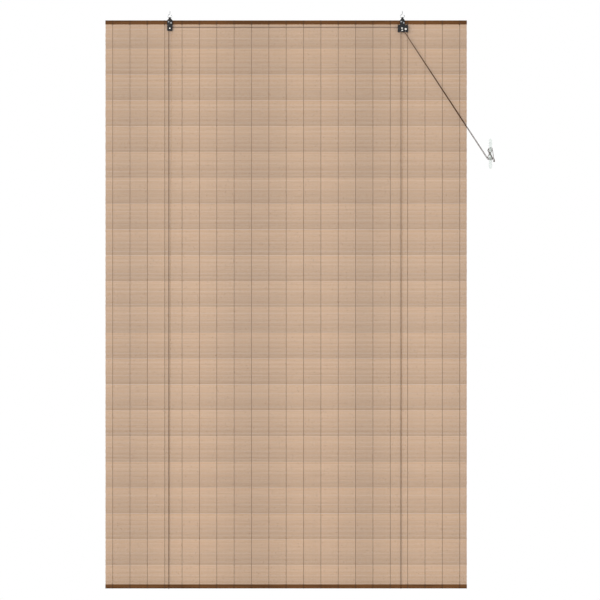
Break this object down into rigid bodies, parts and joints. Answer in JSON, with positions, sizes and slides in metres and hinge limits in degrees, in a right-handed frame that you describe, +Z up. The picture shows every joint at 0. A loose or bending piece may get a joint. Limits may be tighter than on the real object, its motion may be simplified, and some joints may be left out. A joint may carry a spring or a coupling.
{
  "type": "bamboo roll up blind",
  "caption": "Woven bamboo reed blind between two battens, hung from screw hooks, with grooved cord wheels, a cam cord lock and a clear wall cleat.",
  "frame": {"origin": "half way between the two hook shanks, at the ceiling plane where they enter", "axes": "+Z up along the hook shanks, +Y to the wall behind the blind, -Y the front, X along the blind with the cord lock at +X"},
  "size_m": [1.5082, 0.0294, 2.2403],
  "materials": {
    "reed_bamboo": "pale split bamboo, matt, with bands of lighter and darker reeds",
    "dark_bamboo": "brown stained bamboo lath, satin",
    "warp_cotton": "thin twisted cotton thread, brown",
    "brown_cord": "twisted brown cord",
    "black_steel": "black lacquered sheet steel, half gloss",
    "zinc_steel": "bright zinc plated steel",
    "nickel_rivet": "polished domed rivet",
    "black_nylon": "moulded black nylon",
    "clear_plastic": "clear moulded plastic, glossy"
  },
  "bodies": {
    "blind": {"left_hook": "zinc_steel", "right_hook": "zinc_steel", "head_batten": "dark_bamboo", "bottom_batten": "dark_bamboo", "reed_mat": "reed_bamboo", "warp_threads": "warp_cotton", "left_strap": "black_steel", "right_strap": "black_steel", "left_spacers": "zinc_steel", "right_spacers": "zinc_steel", "left_fixing_screws": "zinc_steel", "right_fixing_screws": "zinc_steel", "fixing_washers": "zinc_steel", "fixing_nuts": "zinc_steel", "left_axle": "nickel_rivet", "right_axle": "nickel_rivet", "roller_axle": "nickel_rivet", "cam_axle": "nickel_rivet", "cleat": "clear_plastic", "cord_end_knot": "brown_cord", "left_cord": "brown_cord", "right_cord": "brown_cord"},
    "left_wheel": {"left_wheel": "black_nylon"},
    "right_rear_wheel": {"right_rear_wheel": "black_nylon"},
    "right_front_wheel": {"right_front_wheel": "black_nylon"},
    "anvil_roller": {"anvil_roller": "black_nylon"},
    "locking_cam": {"locking_cam": "zinc_steel"}
  },
  "joints": [
    {"name": "left_wheel_spin", "type": "hinge", "parent": "blind", "child": "left_wheel", "pos_m": [-0.45, 0, -0.057], "axis": [0, 1, 0], "continuous": true},
    {"name": "right_rear_wheel_spin", "type": "hinge", "parent": "blind", "child": "right_rear_wheel", "pos_m": [0.4487, 0, -0.057], "axis": [0, 1, 0], "continuous": true},
    {"name": "right_front_wheel_spin", "type": "hinge", "parent": "blind", "child": "right_front_wheel", "pos_m": [0.4487, -0.0042, -0.057], "axis": [0, 1, 0], "continuous": true},
    {"name": "anvil_roller_spin", "type": "hinge", "parent": "blind", "child": "anvil_roller", "pos_m": [0.4494, -0.0021, -0.0654], "axis": [0, 1, 0], "continuous": true},
    {"name": "locking_cam_swing", "type": "hinge", "parent": "blind", "child": "locking_cam", "pos_m": [0.4629, -0.0021, -0.0603], "axis": [0, -1, 0], "range_deg": [0, 50]}
  ],
  "couplings": [
    {"joint": "right_rear_wheel_spin", "follows": "left_wheel_spin", "ratio": 1},
    {"joint": "right_front_wheel_spin", "follows": "left_wheel_spin", "ratio": 1},
    {"joint": "anvil_roller_spin", "follows": "left_wheel_spin", "ratio": 1.3548}
  ]
}
